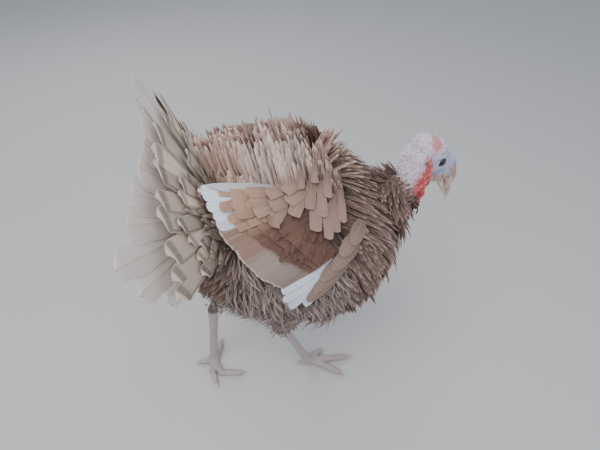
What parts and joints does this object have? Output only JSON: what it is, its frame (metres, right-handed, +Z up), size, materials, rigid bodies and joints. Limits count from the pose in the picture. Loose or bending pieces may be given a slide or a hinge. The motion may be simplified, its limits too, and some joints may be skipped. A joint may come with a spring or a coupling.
{
  "type": "domestic turkey",
  "caption": "Life-size walking tom turkey with light brown raised plumage, fanned pale-edged tail, lowered wings with white feathers and a bowed bare red, white and blue head.",
  "frame": {"origin": "on the floor, below the middle of the bounding box", "axes": "+X forward, the way the bird walks; +Y its left side; +Z up from the floor"},
  "size_m": [0.509, 0.406, 0.717],
  "materials": {
    "body_plumage": "matt light brown feathers with cream tips",
    "wing_plumage": "smooth tan and rufous wing feathers",
    "white_plumage": "smooth white flight feathers",
    "tail_plumage": "pale greyish-cream tail feathers with lighter tips",
    "bare_skin": "granular pink, white and bluish skin",
    "red_skin": "moist red wattle and snood skin",
    "leg_scales": "dull pinkish-grey scales",
    "horn": "smooth satin horn of bill and claws",
    "eye": "wet glossy dark eye"
  },
  "bodies": {
    "root": {"trunk": "body_plumage", "neck_plumage": "body_plumage", "neck": "bare_skin", "head": "bare_skin", "eye_right": "eye", "eye_left": "eye", "bill_upper": "horn", "bill_lower": "horn", "snood": "red_skin", "wattle": "red_skin", "tail_coverts": "tail_plumage", "rectrix_right_1": "tail_plumage", "rectrix_right_2": "tail_plumage", "rectrix_right_3": "tail_plumage", "rectrix_right_4": "tail_plumage", "rectrix_right_5": "tail_plumage", "rectrix_right_6": "tail_plumage", "rectrix_right_7": "tail_plumage", "rectrix_right_8": "tail_plumage", "rectrix_right_9": "tail_plumage", "primaries_right": "white_plumage", "secondaries_right": "wing_plumage", "wing_coverts_right": "wing_plumage", "scapulars_right": "wing_plumage", "thigh_right": "body_plumage", "shank_right": "leg_scales", "inner_toe_right": "leg_scales", "inner_claw_right": "horn", "middle_toe_right": "leg_scales", "middle_claw_right": "horn", "outer_toe_right": "leg_scales", "outer_claw_right": "horn", "hind_toe_right": "leg_scales", "hind_claw_right": "horn", "rectrix_left_1": "tail_plumage", "rectrix_left_2": "tail_plumage", "rectrix_left_3": "tail_plumage", "rectrix_left_4": "tail_plumage", "rectrix_left_5": "tail_plumage", "rectrix_left_6": "tail_plumage", "rectrix_left_7": "tail_plumage", "rectrix_left_8": "tail_plumage", "rectrix_left_9": "tail_plumage", "primaries_left": "white_plumage", "secondaries_left": "wing_plumage", "wing_coverts_left": "wing_plumage", "scapulars_left": "wing_plumage", "thigh_left": "body_plumage", "shank_left": "leg_scales", "inner_toe_left": "leg_scales", "inner_claw_left": "horn", "middle_toe_left": "leg_scales", "middle_claw_left": "horn", "outer_toe_left": "leg_scales", "outer_claw_left": "horn", "hind_toe_left": "leg_scales", "hind_claw_left": "horn"}
  },
  "joints": []
}
